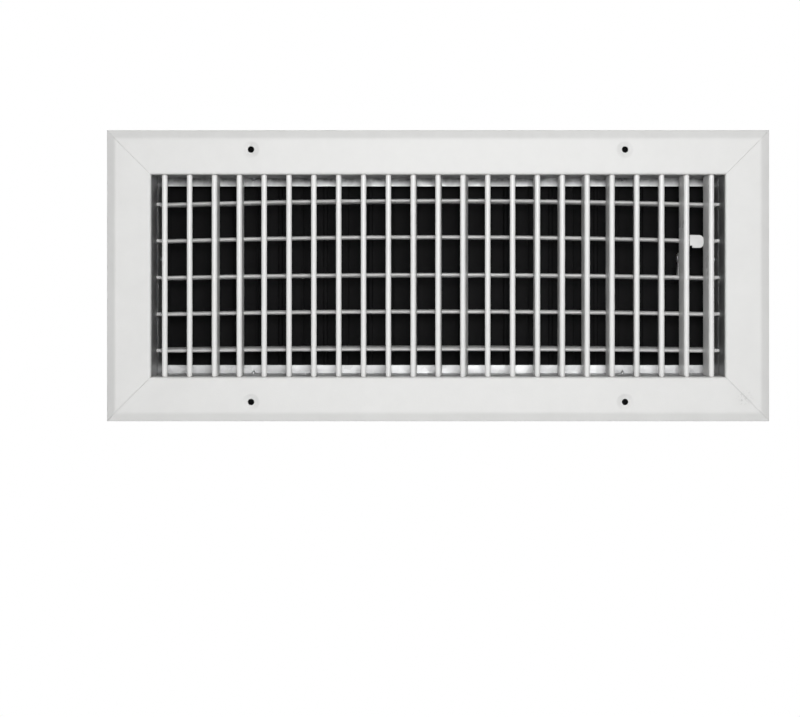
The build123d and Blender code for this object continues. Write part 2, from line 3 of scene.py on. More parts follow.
import bpy
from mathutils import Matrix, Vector


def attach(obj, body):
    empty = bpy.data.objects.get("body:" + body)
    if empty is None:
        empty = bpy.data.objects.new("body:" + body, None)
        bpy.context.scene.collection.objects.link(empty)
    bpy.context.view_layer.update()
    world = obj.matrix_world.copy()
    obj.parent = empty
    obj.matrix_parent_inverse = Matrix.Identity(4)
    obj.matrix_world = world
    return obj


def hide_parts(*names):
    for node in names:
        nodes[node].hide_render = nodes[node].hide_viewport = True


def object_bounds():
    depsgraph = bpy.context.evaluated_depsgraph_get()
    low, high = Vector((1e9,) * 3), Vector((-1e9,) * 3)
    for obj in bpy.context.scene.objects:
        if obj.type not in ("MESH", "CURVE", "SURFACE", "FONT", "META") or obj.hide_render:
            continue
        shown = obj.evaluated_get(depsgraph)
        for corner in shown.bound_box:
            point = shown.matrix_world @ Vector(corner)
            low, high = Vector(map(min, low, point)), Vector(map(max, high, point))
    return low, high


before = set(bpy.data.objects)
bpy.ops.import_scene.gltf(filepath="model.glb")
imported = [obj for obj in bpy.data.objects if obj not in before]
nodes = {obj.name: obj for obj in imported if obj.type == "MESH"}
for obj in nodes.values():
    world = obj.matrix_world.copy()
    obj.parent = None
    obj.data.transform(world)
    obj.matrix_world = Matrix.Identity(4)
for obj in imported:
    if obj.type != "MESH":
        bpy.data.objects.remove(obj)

cadLow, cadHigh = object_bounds()  # the box of the register as loaded
mm = 0.001
print("register loaded:", len(nodes), "nodes")


# Node helpers: they keep the material code short. Lengths in the materials are in metres.
# In the dictionaries a range is (from low, from high, to low, to high), a bump is (strength, distance),
# and a noise is (detail, roughness), with its scale first where the scale is fixed.

def newGroup(name, inputs, outputs):
    group = bpy.data.node_groups.new(name, "ShaderNodeTree")
    for label, kind, value in inputs:
        socket = group.interface.new_socket(label, in_out="INPUT", socket_type=kind)
        socket.default_value = value
    for label, kind in outputs:
        group.interface.new_socket(label, in_out="OUTPUT", socket_type=kind)
    return group, group.nodes.new("NodeGroupInput"), group.nodes.new("NodeGroupOutput")


def addNode(tree, kind, values=None, **settings):
    node = tree.nodes.new(kind)
    for key, value in settings.items():
        setattr(node, key, value)
    for key, value in (values or {}).items():
        node.inputs[key].default_value = value
    return node


def groupNode(tree, group, **values):
    node = addNode(tree, "ShaderNodeGroup", node_tree=group)
    for key, value in values.items():
        node.inputs[key.replace("_", " ")].default_value = value
    return node


def mathNode(tree, operation, first, second=None, clamp=False):
    node = addNode(tree, "ShaderNodeMath", operation=operation, use_clamp=clamp)
    for index, value in enumerate((first, second)):
        if value is None:
            continue
        if isinstance(value, (int, float)):
            node.inputs[index].default_value = value
        else:
            tree.links.new(value, node.inputs[index])
    return node.outputs[0]


def rangeNode(tree, value, fromLow, fromHigh, toLow, toHigh):
    node = addNode(tree, "ShaderNodeMapRange", {1: fromLow, 2: fromHigh, 3: toLow, 4: toHigh})
    tree.links.new(value, node.inputs[0])
    return node.outputs[0]


def noiseNode(tree, vector, scale, detail, roughness):
    node = addNode(tree, "ShaderNodeTexNoise", {"Detail": detail, "Roughness": roughness})
    tree.links.new(vector, node.inputs["Vector"])
    if isinstance(scale, (int, float)):
        node.inputs["Scale"].default_value = scale
    else:
        tree.links.new(scale, node.inputs["Scale"])
    return node.outputs["Fac"]


def mixColor(tree, mask, first, second):
    node = addNode(tree, "ShaderNodeMix", data_type="RGBA")
    for index, value in ((6, first), (7, second)):  # the mix node's two colours
        if isinstance(value, tuple):
            node.inputs[index].default_value = (*value, 1.0)
        else:
            tree.links.new(value, node.inputs[index])
    tree.links.new(mask, node.inputs[0])
    return node.outputs[2]


def mixValue(tree, mask, first, second):
    node = addNode(tree, "ShaderNodeMix", data_type="FLOAT")
    for index, value in ((0, mask), (2, first), (3, second)):
        tree.links.new(value, node.inputs[index])
    return node.outputs[0]


def stretched(tree, stretch=(1, 1, 1)):
    coords = addNode(tree, "ShaderNodeTexCoord")
    mapping = addNode(tree, "ShaderNodeMapping", {"Scale": stretch})
    tree.links.new(coords.outputs["Object"], mapping.inputs["Vector"])
    return mapping.outputs["Vector"]


def splitAxes(tree, vector):
    split = addNode(tree, "ShaderNodeSeparateXYZ")
    tree.links.new(vector, split.inputs[0])
    return split.outputs


def startMaterial(name, **values):
    material = bpy.data.materials.new(name)
    material.use_nodes = True
    shader = material.node_tree.nodes["Principled BSDF"]
    for key, value in values.items():
        shader.inputs[key.replace("_", " ")].default_value = value
    return material, material.node_tree, shader


def bumpNode(tree, height, strength, distance, normal=None):
    bump = addNode(tree, "ShaderNodeBump", {"Strength": strength, "Distance": distance})
    tree.links.new(height, bump.inputs["Height"])
    if normal is not None:
        tree.links.new(normal, bump.inputs["Normal"])
    return bump.outputs["Normal"]


# Powder coat: broad mottle, and the fine orange peel of baked paint
coatNoise = {"fine": (2.0, 0.45), "broad": (4.0, 0.55), "mottle": (0.32, 0.68, 0.0, 1.0)}
peelGroup, peelIn, peelOut = newGroup(
    "powderCoat",
    [("Peel Scale", "NodeSocketFloat", 900.0), ("Mottle Scale", "NodeSocketFloat", 35.0)],
    [("Height", "NodeSocketFloat"), ("Mottle", "NodeSocketFloat")],
)
peelCoords = stretched(peelGroup)
peelFine = noiseNode(peelGroup, peelCoords, peelIn.outputs["Peel Scale"], *coatNoise["fine"])
peelBroad = noiseNode(peelGroup, peelCoords, peelIn.outputs["Mottle Scale"], *coatNoise["broad"])
peelGroup.links.new(peelFine, peelOut.inputs["Height"])
peelGroup.links.new(rangeNode(peelGroup, peelBroad, *coatNoise["mottle"]), peelOut.inputs["Mottle"])

# Settled dust: gathers on faces that look up, in uneven drifts
dustFall = {"facingUp": (0.25, 0.95, 0.12, 1.0), "noise": (6.0, 0.65), "drift": (0.35, 0.72, 0.0, 1.0)}
dustGroup, dustIn, dustOut = newGroup(
    "settledDust",
    [("Amount", "NodeSocketFloat", 0.3), ("Scale", "NodeSocketFloat", 160.0)],
    [("Mask", "NodeSocketFloat")],
)
dustNormal = addNode(dustGroup, "ShaderNodeNewGeometry").outputs["Normal"]
dustUp = rangeNode(dustGroup, splitAxes(dustGroup, dustNormal)["Z"], *dustFall["facingUp"])
dustNoise = noiseNode(dustGroup, stretched(dustGroup), dustIn.outputs["Scale"], *dustFall["noise"])
dustMask = mathNode(dustGroup, "MULTIPLY", dustUp, rangeNode(dustGroup, dustNoise, *dustFall["drift"]))
dustMask = mathNode(dustGroup, "MULTIPLY", dustMask, dustIn.outputs["Amount"], True)
dustGroup.links.new(dustMask, dustOut.inputs["Mask"])

# Edge wear: where the rounded normal leaves the flat one, broken up by noise
wearEdges = {
    "samples": 6, "edge": (0.985, 0.86, 0.0, 1.0), "noise": (420.0, 5.0, 0.7),
    "patch": (0.45, 0.66, 0.0, 1.0),
}
wearGroup, wearIn, wearOut = newGroup(
    "edgeWear",
    [("Radius", "NodeSocketFloat", 0.0006), ("Amount", "NodeSocketFloat", 0.5)],
    [("Mask", "NodeSocketFloat"), ("Normal", "NodeSocketVector")],
)
wearBevel = addNode(wearGroup, "ShaderNodeBevel", samples=wearEdges["samples"])
wearGroup.links.new(wearIn.outputs["Radius"], wearBevel.inputs["Radius"])
wearFlat = addNode(wearGroup, "ShaderNodeNewGeometry")
wearDot = addNode(wearGroup, "ShaderNodeVectorMath", operation="DOT_PRODUCT")
wearGroup.links.new(wearBevel.outputs[0], wearDot.inputs[0])
wearGroup.links.new(wearFlat.outputs["Normal"], wearDot.inputs[1])
wearEdge = rangeNode(wearGroup, wearDot.outputs["Value"], *wearEdges["edge"])
wearNoise = noiseNode(wearGroup, stretched(wearGroup), *wearEdges["noise"])
wearMask = mathNode(wearGroup, "MULTIPLY", wearEdge, rangeNode(wearGroup, wearNoise, *wearEdges["patch"]))
wearMask = mathNode(wearGroup, "MULTIPLY", wearMask, wearIn.outputs["Amount"], True)
wearGroup.links.new(wearMask, wearOut.inputs["Mask"])
wearGroup.links.new(wearBevel.outputs[0], wearOut.inputs["Normal"])

# Drawn grain: long fine lines left by rolls and dies
grainNoise = (5.0, 0.6)
grainGroup, grainIn, grainOut = newGroup(
    "drawnGrain",
    [("Vector", "NodeSocketVector", (0, 0, 0)), ("Scale", "NodeSocketFloat", 300.0)],
    [("Height", "NodeSocketFloat")],
)
grainHeight = noiseNode(grainGroup, grainIn.outputs["Vector"], grainIn.outputs["Scale"], *grainNoise)
grainGroup.links.new(grainHeight, grainOut.inputs["Height"])

# Neck: the coat thins out behind the lip and leaves the drawn metal bare, with an uneven edge
neckInside = {"halfWide": 0.1986, "halfTall": 0.0722, "fog": (260.0, 4.0, 0.6), "fogDeep": 0.003}
neckGroup, neckIn, neckOut = newGroup(
    "bareNeck",
    [
        ("Start", "NodeSocketFloat", 0.0026), ("End", "NodeSocketFloat", 0.0085),
        ("Amount", "NodeSocketFloat", 1.0),
    ],
    [("Mask", "NodeSocketFloat")],
)
neckWhere = stretched(neckGroup)
neckAxes = splitAxes(neckGroup, neckWhere)
neckAcross = mathNode(neckGroup, "ABSOLUTE", neckAxes["X"])
neckUp = mathNode(neckGroup, "ABSOLUTE", neckAxes["Z"])
neckAcross = mathNode(neckGroup, "LESS_THAN", neckAcross, neckInside["halfWide"])
neckUp = mathNode(neckGroup, "LESS_THAN", neckUp, neckInside["halfTall"])
neckBox = mathNode(neckGroup, "MULTIPLY", neckAcross, neckUp)
neckFog = noiseNode(neckGroup, neckWhere, *neckInside["fog"])
neckFog = mathNode(neckGroup, "MULTIPLY", neckFog, neckInside["fogDeep"])
neckRange = addNode(neckGroup, "ShaderNodeMapRange", interpolation_type="SMOOTHSTEP")
neckGroup.links.new(mathNode(neckGroup, "ADD", neckAxes["Y"], neckFog), neckRange.inputs[0])
neckGroup.links.new(neckIn.outputs["Start"], neckRange.inputs[1])
neckGroup.links.new(neckIn.outputs["End"], neckRange.inputs[2])
neckThin = mathNode(neckGroup, "MULTIPLY", neckRange.outputs[0], neckIn.outputs["Amount"])
neckGroup.links.new(mathNode(neckGroup, "MULTIPLY", neckBox, neckThin), neckOut.inputs["Mask"])


def spotDistance(tree, where, spot, mirrored):
    axes = splitAxes(tree, where)
    squares = []
    for axis, place in (("X", "Across"), ("Z", "Up")):
        away = mathNode(tree, "ABSOLUTE", axes[axis]) if mirrored else axes[axis]  # one spot, or four
        away = mathNode(tree, "SUBTRACT", away, spot.outputs[place])
        squares.append(mathNode(tree, "MULTIPLY", away, away))
    return mathNode(tree, "SQRT", mathNode(tree, "ADD", *squares))


# Screw seats: the face dips a little towards each of the four holes
seatRing = {1: 0.002, 2: 0.0062}  # radii in metres: the dip's foot and its outer edge
seatGroup, seatIn, seatOut = newGroup(
    "screwSeat",
    [("Across", "NodeSocketFloat", 0.127), ("Up", "NodeSocketFloat", 0.085725)],
    [("Height", "NodeSocketFloat")],
)
seatRange = addNode(seatGroup, "ShaderNodeMapRange", seatRing, interpolation_type="SMOOTHSTEP")
seatGroup.links.new(spotDistance(seatGroup, stretched(seatGroup), seatIn, True), seatRange.inputs[0])
seatGroup.links.new(seatRange.outputs[0], seatOut.inputs["Height"])

# Mitre scuff: the coat is nicked and lumpy halfway along the lower right mitre
scuffNicks = {"noise": (750.0, 3.0, 0.6), "nick": (0.5, 0.64, 0.0, 1.0)}
scuffGroup, scuffIn, scuffOut = newGroup(
    "mitreScuff",
    [
        ("Across", "NodeSocketFloat", 0.2084), ("Up", "NodeSocketFloat", -0.083),
        ("Reach", "NodeSocketFloat", 0.0065),
    ],
    [("Mask", "NodeSocketFloat")],
)
scuffWhere = stretched(scuffGroup)
scuffNear = addNode(scuffGroup, "ShaderNodeMapRange", {2: 0.0, 3: 0.0, 4: 1.0})  # fades out at Reach
scuffGroup.links.new(spotDistance(scuffGroup, scuffWhere, scuffIn, False), scuffNear.inputs[0])
scuffGroup.links.new(scuffIn.outputs["Reach"], scuffNear.inputs[1])
scuffNoise = noiseNode(scuffGroup, scuffWhere, *scuffNicks["noise"])
scuffSpots = rangeNode(scuffGroup, scuffNoise, *scuffNicks["nick"])
scuffMask = mathNode(scuffGroup, "MULTIPLY", scuffNear.outputs[0], scuffSpots)
scuffGroup.links.new(scuffMask, scuffOut.inputs["Mask"])

# White paints: each is mottled, dusted and worn; the rails also thin out to drawn metal in the neck. The
# long rails' bare neck metal is painted lighter and the short rails' darker: painted light and shade on
# the neck walls.
paints = {
    # Painted light: lighter bare metal for the top and bottom walls of the neck
    "longRailWhiteLitNeck": {
        "dark": (0.765, 0.765, 0.755), "light": (0.80, 0.80, 0.79),
        "smooth": 0.48, "rough": 0.58, "dust": 0.16,
        "drawn": (0.02, 1, 1), "bareDark": (0.46, 0.46, 0.465), "bareLight": (0.68, 0.685, 0.69),
    },
    # Painted shade: darker bare metal for the side walls of the neck
    "shortRailWhiteShadedNeck": {
        "dark": (0.765, 0.765, 0.755), "light": (0.80, 0.80, 0.79),
        "smooth": 0.48, "rough": 0.58, "dust": 0.16,
        "drawn": (1, 1, 0.02), "bareDark": (0.22, 0.22, 0.225), "bareLight": (0.38, 0.385, 0.39),
    },
    "frontBladeWhite": {
        "dark": (0.79, 0.79, 0.785), "light": (0.83, 0.83, 0.822),
        "smooth": 0.26, "rough": 0.36, "dust": 0.12,
    },
    # Painted shade: the rear blades' white is a darker copy of the front blades' paint, for their place
    # deep behind the front blades
    "rearBladeWhiteShaded": {
        "dark": (0.66, 0.66, 0.655), "light": (0.72, 0.72, 0.714),
        "smooth": 0.22, "rough": 0.32, "dust": 0.16,
    },
    "leverWhite": {
        "dark": (0.60, 0.60, 0.595), "light": (0.72, 0.72, 0.712),
        "smooth": 0.4, "rough": 0.5, "dust": 0.12,
    },
}
dustColour = (0.42, 0.40, 0.37)
paintLook = {
    "peel": {"Peel_Scale": 900.0, "Mottle_Scale": 35.0}, "wear": {"Radius": 0.0004, "Amount": 0.22},
    "wearColour": (0.55, 0.56, 0.57), "dustScale": 150.0, "dustRough": 0.5, "bump": (0.12, 0.0004),
}
railLook = {
    "neck": {"Start": 0.0026, "End": 0.0085, "Amount": 0.8},
    "grainScale": 420.0, "grainRough": (0.3, 0.7, 0.38, 0.52),
    "seat": {"Across": 0.127, "Up": 0.085725}, "seatBump": (1.0, 0.001),
    "scuff": {"Across": 0.2084, "Up": -0.083, "Reach": 0.0065},
    "scuffColour": (0.52, 0.52, 0.515), "scuffDeep": 3.0,
}


def paintMaterial(name, dark, light, smooth, rough, dust, drawn=None, bareDark=None, bareLight=None):
    material, tree, shader = startMaterial(name, Specular_IOR_Level=0.45)
    peel = groupNode(tree, peelGroup, **paintLook["peel"])
    drift = groupNode(tree, dustGroup, Amount=dust, Scale=paintLook["dustScale"])
    wear = groupNode(tree, wearGroup, **paintLook["wear"])
    colour = mixColor(tree, peel.outputs["Mottle"], dark, light)
    colour = mixColor(tree, drift.outputs["Mask"], colour, dustColour)
    colour = mixColor(tree, wear.outputs["Mask"], colour, paintLook["wearColour"])
    polish = rangeNode(tree, peel.outputs["Mottle"], 0.0, 1.0, smooth, rough)
    chalk = mathNode(tree, "MULTIPLY", drift.outputs["Mask"], paintLook["dustRough"])
    polish = mathNode(tree, "ADD", polish, chalk, True)
    height = peel.outputs["Height"]
    normal = wear.outputs["Normal"]
    if drawn:
        bare = groupNode(tree, neckGroup, **railLook["neck"])
        seat = groupNode(tree, seatGroup, **railLook["seat"])
        scuff = groupNode(tree, scuffGroup, **railLook["scuff"])
        grain = groupNode(tree, grainGroup, Scale=railLook["grainScale"])
        tree.links.new(stretched(tree, drawn), grain.inputs["Vector"])
        streak = mixColor(tree, grain.outputs["Height"], bareDark, bareLight)
        colour = mixColor(tree, bare.outputs["Mask"], colour, streak)
        colour = mixColor(tree, scuff.outputs["Mask"], colour, railLook["scuffColour"])
        tree.links.new(bare.outputs["Mask"], shader.inputs["Metallic"])
        grainPolish = rangeNode(tree, grain.outputs["Height"], *railLook["grainRough"])
        polish = mixValue(tree, bare.outputs["Mask"], polish, grainPolish)
        height = mixValue(tree, bare.outputs["Mask"], height, grain.outputs["Height"])
        nicks = mathNode(tree, "MULTIPLY", scuff.outputs["Mask"], railLook["scuffDeep"])
        height = mathNode(tree, "SUBTRACT", height, nicks)
        normal = bumpNode(tree, seat.outputs["Height"], *railLook["seatBump"], normal)
    tree.links.new(colour, shader.inputs["Base Color"])
    tree.links.new(polish, shader.inputs["Roughness"])
    tree.links.new(bumpNode(tree, height, *paintLook["bump"], normal), shader.inputs["Normal"])
    return material


longRailPaintLitNeck, shortRailPaintShadedNeck, frontBladePaint, rearBladePaintShaded, leverPaint = [
    paintMaterial(name, **values) for name, values in paints.items()
]

# Nylon of the pivot strips: pale in front; the rear strips, where the rear blades end in the dark, are a
# grey copy of the same nylon, painted shade
nylons = {
    "paleNylon": {"dark": (0.70, 0.69, 0.65), "light": (0.76, 0.75, 0.71)},
    "shadedGreyNylon": {"dark": (0.20, 0.20, 0.20), "light": (0.26, 0.26, 0.26)},
}
nylonLook = {
    "peel": {"Peel_Scale": 1500.0, "Mottle_Scale": 60.0}, "dust": {"Amount": 0.4, "Scale": 240.0},
    "polish": (0.3, 0.7, 0.48, 0.66), "bump": (0.2, 0.0003),
}


def nylonMaterial(name, dark, light):
    material, tree, shader = startMaterial(name, Specular_IOR_Level=0.4, Subsurface_Weight=0.08)
    peel = groupNode(tree, peelGroup, **nylonLook["peel"])
    drift = groupNode(tree, dustGroup, **nylonLook["dust"])
    colour = mixColor(tree, peel.outputs["Mottle"], dark, light)
    tree.links.new(mixColor(tree, drift.outputs["Mask"], colour, dustColour), shader.inputs["Base Color"])
    polish = rangeNode(tree, peel.outputs["Height"], *nylonLook["polish"])
    tree.links.new(polish, shader.inputs["Roughness"])
    tree.links.new(bumpNode(tree, peel.outputs["Height"], *nylonLook["bump"]), shader.inputs["Normal"])
    return material


paleNylon, shadedGreyNylon = [nylonMaterial(name, **values) for name, values in nylons.items()]

# Galvanised sheet: zinc crystals, with painted shade darkening the front flanges towards the neck,
# strongest on the top flange
zincLook = {
    "crystals": {"Scale": 170.0, "Randomness": 1.0},
    "dark": (0.47, 0.475, 0.48), "light": (0.57, 0.575, 0.58),
    "wear": {"Radius": 0.0003, "Amount": 0.35}, "wearColour": (0.6, 0.61, 0.62),
    "dust": {"Amount": 0.35, "Scale": 120.0}, "dustMetal": (0.0, 0.3, 0.9, 0.3),
    "polish": (0.0, 1.0, 0.46, 0.56), "bump": (0.02, 0.0003),
}
flangeShade = {
    "shadeStart": 0.0634, "shadeFull": 0.0678, "neck": 0.0699, "back": 0.0485, "above": 1.0, "below": 0.25,
    "middle": 0.001, "noise": (140.0, 4.0, 0.6), "patch": (0.3, 0.65, 0.55, 1.0),
    "colour": (0.05, 0.05, 0.05),
}


# Painted shade: near-black towards the neck on the channel's front flanges, full on the top flange and a
# quarter on the bottom one, in blotches
def flangeShadeMask(tree, where):
    axes = splitAxes(tree, where)
    aside = mathNode(tree, "ABSOLUTE", axes["Z"])
    middle = flangeShade["middle"]
    masks = [
        rangeNode(tree, axes["Z"], -middle, middle, flangeShade["below"], flangeShade["above"]),
        mathNode(tree, "LESS_THAN", aside, flangeShade["neck"]),
        mathNode(tree, "LESS_THAN", axes["Y"], flangeShade["back"]),
        rangeNode(tree, noiseNode(tree, where, *flangeShade["noise"]), *flangeShade["patch"]),
    ]
    paintedFlangeShade = rangeNode(tree, aside, flangeShade["shadeStart"], flangeShade["shadeFull"], 0.0, 1.0)
    for mask in masks:
        paintedFlangeShade = mathNode(tree, "MULTIPLY", paintedFlangeShade, mask)
    return paintedFlangeShade


def zincMaterial(name):
    material, tree, shader = startMaterial(name, Specular_IOR_Level=0.5)
    where = stretched(tree)
    crystals = addNode(tree, "ShaderNodeTexVoronoi", zincLook["crystals"])
    tree.links.new(where, crystals.inputs["Vector"])
    facet = addNode(tree, "ShaderNodeSeparateColor")
    tree.links.new(crystals.outputs["Color"], facet.inputs[0])
    wear = groupNode(tree, wearGroup, **zincLook["wear"])
    drift = groupNode(tree, dustGroup, **zincLook["dust"])
    colour = mixColor(tree, facet.outputs[0], zincLook["dark"], zincLook["light"])
    colour = mixColor(tree, wear.outputs["Mask"], colour, zincLook["wearColour"])
    colour = mixColor(tree, drift.outputs["Mask"], colour, dustColour)
    # the flanges' painted shade is mixed in here
    colour = mixColor(tree, flangeShadeMask(tree, where), colour, flangeShade["colour"])
    tree.links.new(colour, shader.inputs["Base Color"])
    tree.links.new(rangeNode(tree, facet.outputs[1], *zincLook["polish"]), shader.inputs["Roughness"])
    metallic = rangeNode(tree, drift.outputs["Mask"], *zincLook["dustMetal"])
    tree.links.new(metallic, shader.inputs["Metallic"])
    normal = bumpNode(tree, facet.outputs[2], *zincLook["bump"], wear.outputs["Normal"])
    tree.links.new(normal, shader.inputs["Normal"])
    return material


zinc = zincMaterial("galvanisedSheet")

# Bare metals of the hidden hardware: drawn grain and bright worn edges
metals = {
    "keySteel": {
        "dark": (0.42, 0.43, 0.44), "light": (0.56, 0.57, 0.58), "stretch": (0.15, 1, 1),
        "smooth": 0.32, "rough": 0.5, "worn": 0.4,
    },
    "rivetMetal": {
        "dark": (0.60, 0.60, 0.61), "light": (0.74, 0.74, 0.75), "stretch": (1, 1, 1),
        "smooth": 0.3, "rough": 0.46, "worn": 0.3,
    },
    "screwZinc": {
        "dark": (0.56, 0.57, 0.60), "light": (0.72, 0.73, 0.75), "stretch": (1, 1, 1),
        "smooth": 0.24, "rough": 0.4, "worn": 0.3,
    },
}
metalLook = {
    "grainScale": 260.0, "grain": (0.3, 0.7), "wearRadius": 0.0003, "wearColour": (0.8, 0.8, 0.81),
    "bump": (0.1, 0.0003),
}


def metalMaterial(name, dark, light, stretch, smooth, rough, worn):
    material, tree, shader = startMaterial(name, Metallic=1.0)
    grain = groupNode(tree, grainGroup, Scale=metalLook["grainScale"])
    tree.links.new(stretched(tree, stretch), grain.inputs["Vector"])
    wear = groupNode(tree, wearGroup, Radius=metalLook["wearRadius"], Amount=worn)
    colour = mixColor(tree, grain.outputs["Height"], dark, light)
    colour = mixColor(tree, wear.outputs["Mask"], colour, metalLook["wearColour"])
    tree.links.new(colour, shader.inputs["Base Color"])
    polish = rangeNode(tree, grain.outputs["Height"], *metalLook["grain"], smooth, rough)
    tree.links.new(polish, shader.inputs["Roughness"])
    normal = bumpNode(tree, grain.outputs["Height"], *metalLook["bump"], wear.outputs["Normal"])
    tree.links.new(normal, shader.inputs["Normal"])
    return material


keySteel, rivetMetal, screwZinc = [metalMaterial(name, **values) for name, values in metals.items()]

# Black paint of the damper
blackLook = {
    "dark": (0.004, 0.004, 0.0045), "light": (0.009, 0.009, 0.0095), "polish": (0.0, 1.0, 0.66, 0.82),
    "peel": {"Peel_Scale": 1100.0, "Mottle_Scale": 28.0}, "bump": (0.15, 0.0004),
    "dust": {"Amount": 0.05, "Scale": 110.0}, "dustColour": (0.16, 0.15, 0.14),
    "wear": {"Radius": 0.0004, "Amount": 0.12}, "wearColour": (0.2, 0.2, 0.2),
}


def blackMaterial(name):
    material, tree, shader = startMaterial(name, Specular_IOR_Level=0.1)
    peel = groupNode(tree, peelGroup, **blackLook["peel"])
    drift = groupNode(tree, dustGroup, **blackLook["dust"])
    wear = groupNode(tree, wearGroup, **blackLook["wear"])
    colour = mixColor(tree, peel.outputs["Mottle"], blackLook["dark"], blackLook["light"])
    colour = mixColor(tree, drift.outputs["Mask"], colour, blackLook["dustColour"])
    colour = mixColor(tree, wear.outputs["Mask"], colour, blackLook["wearColour"])
    tree.links.new(colour, shader.inputs["Base Color"])
    polish = rangeNode(tree, peel.outputs["Mottle"], *blackLook["polish"])
    tree.links.new(polish, shader.inputs["Roughness"])
    normal = bumpNode(tree, peel.outputs["Height"], *blackLook["bump"], wear.outputs["Normal"])
    tree.links.new(normal, shader.inputs["Normal"])
    return material


black = blackMaterial("damperBlack")

# Foam of the gasket: fine open cells in a near-black strip; its dark is also painted shade, standing in
# for the shade seen through the screw holes
foamLook = {
    "cellScale": 1900.0, "pores": (0.1, 0.6, 0.0, 1.0),
    "noise": (90.0, 4.0, 0.5), "patch": (0.3, 0.7, 0.4, 1.0),
    "dark": (0.0015, 0.0015, 0.0015), "light": (0.009, 0.009, 0.0095), "bump": (0.6, 0.0004),
}


def holeShadeFoamMaterial(name):
    material, tree, shader = startMaterial(name, Roughness=0.95, Specular_IOR_Level=0.04)
    where = stretched(tree)
    cells = addNode(tree, "ShaderNodeTexVoronoi", {"Scale": foamLook["cellScale"]})
    tree.links.new(where, cells.inputs["Vector"])
    pores = rangeNode(tree, cells.outputs["Distance"], *foamLook["pores"])
    patches = rangeNode(tree, noiseNode(tree, where, *foamLook["noise"]), *foamLook["patch"])
    shade = mathNode(tree, "MULTIPLY", pores, patches)
    colour = mixColor(tree, shade, foamLook["dark"], foamLook["light"])
    tree.links.new(colour, shader.inputs["Base Color"])
    tree.links.new(bumpNode(tree, pores, *foamLook["bump"]), shader.inputs["Normal"])
    return material


holeShadeFoam = holeShadeFoamMaterial("gasketFoamHoleShade")
print("materials made")

finishes = {
    "frame_rail_top": longRailPaintLitNeck, "frame_rail_bottom": longRailPaintLitNeck,
    "frame_rail_left": shortRailPaintShadedNeck, "frame_rail_right": shortRailPaintShadedNeck,
    "corner_keys": keySteel, "front_pivot": paleNylon, "rear_pivot": shadedGreyNylon,
    "front_blade": frontBladePaint, "rear_blade": rearBladePaintShaded, "damper_lever": leverPaint,
    "damper_channel": zinc, "damper_end": black, "damper_blade": black,
    "link_bar": black, "lever_hanger": black,
    "damper_rivets": rivetMetal, "link_rivets": rivetMetal, "lever_pivot": rivetMetal,
    "damper_screws": screwZinc,
}
for name, node in nodes.items():
    finish = next(finishes[start] for start in finishes if name.startswith(start))
    node.data.materials.clear()
    node.data.materials.append(finish)
print("nodes painted")


# Modelling helpers: every size is in millimetres, and each piece ends with its origin at the frame's

def pickOnly(*pieces):
    bpy.ops.object.select_all(action="DESELECT")
    for piece in pieces:
        piece.select_set(True)
    bpy.context.view_layer.objects.active = pieces[0]


def applyPlace(piece):
    pickOnly(piece)
    bpy.ops.object.transform_apply(location=True, rotation=True, scale=True)


def startRound(sides, radius, low, high):
    bpy.ops.object.select_all(action="DESELECT")
    bpy.ops.mesh.primitive_cylinder_add(
        vertices=sides, radius=radius * mm, depth=(high - low) * mm, location=(0, 0, (low + high) / 2 * mm)
    )
    bpy.ops.object.transform_apply(location=True, rotation=True, scale=True)
    return bpy.context.object


def editFaces(piece, wanted):
    pickOnly(piece)
    bpy.ops.object.mode_set(mode="EDIT")
    bpy.ops.mesh.select_mode(type="FACE")
    bpy.ops.mesh.select_all(action="DESELECT")
    bpy.ops.object.mode_set(mode="OBJECT")
    for face in piece.data.polygons:
        face.select = wanted(face)
    bpy.ops.object.mode_set(mode="EDIT")


flatEnough = 0.9  # a face whose normal's z is past this is an end of the round


def editTop(piece):
    top = max(corner[2] for corner in piece.bound_box) - 0.01 * mm
    editFaces(piece, lambda face: face.normal.z > flatEnough and face.center.z > top)


def roundTop(piece, radius, steps=4):
    editTop(piece)
    bpy.ops.mesh.bevel(offset=radius * mm, segments=steps, affect="EDGES")
    bpy.ops.object.mode_set(mode="OBJECT")


def sinkTop(piece, rim, depth):
    editTop(piece)
    bpy.ops.mesh.inset(thickness=rim * mm, depth=0)
    bpy.ops.mesh.extrude_region_move(TRANSFORM_OT_translate={"value": (0, 0, -depth * mm)})
    bpy.ops.object.mode_set(mode="OBJECT")


def applyModifier(piece, kind, **settings):
    pickOnly(piece)
    modifier = piece.modifiers.new(kind.lower(), kind)
    for key, value in settings.items():
        setattr(modifier, key, value)
    bpy.ops.object.modifier_apply(modifier=modifier.name)


def joinAs(name, pieces):
    pickOnly(*pieces)
    bpy.ops.object.join()
    joined = bpy.context.object
    joined.name = name
    joined.data.name = name
    return joined


def faceOutward(piece):
    pickOnly(piece)
    bpy.ops.object.mode_set(mode="EDIT")
    bpy.ops.mesh.select_all(action="SELECT")
    bpy.ops.mesh.normals_make_consistent(inside=False)
    bpy.ops.object.mode_set(mode="OBJECT")


def copyTo(name, model, seats):
    faceOutward(model)
    copies = []
    for place, outward in seats:
        twin = model.copy()
        twin.data = model.data.copy()
        bpy.context.collection.objects.link(twin)
        twin.location = Vector(place) * mm
        twin.rotation_euler = Vector(outward).to_track_quat("Z", "Y").to_euler()
        applyPlace(twin)
        copies.append(twin)
    bpy.data.objects.remove(model)
    return joinAs(name, copies)


def settle(piece, finish, body, stands=None, smooth=32):
    applyPlace(piece)
    bpy.ops.object.shade_smooth_by_angle(angle=math.radians(smooth))
    piece.data.materials.clear()
    piece.data.materials.append(finish)
    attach(piece, body)
    if stands:
        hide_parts(stands)


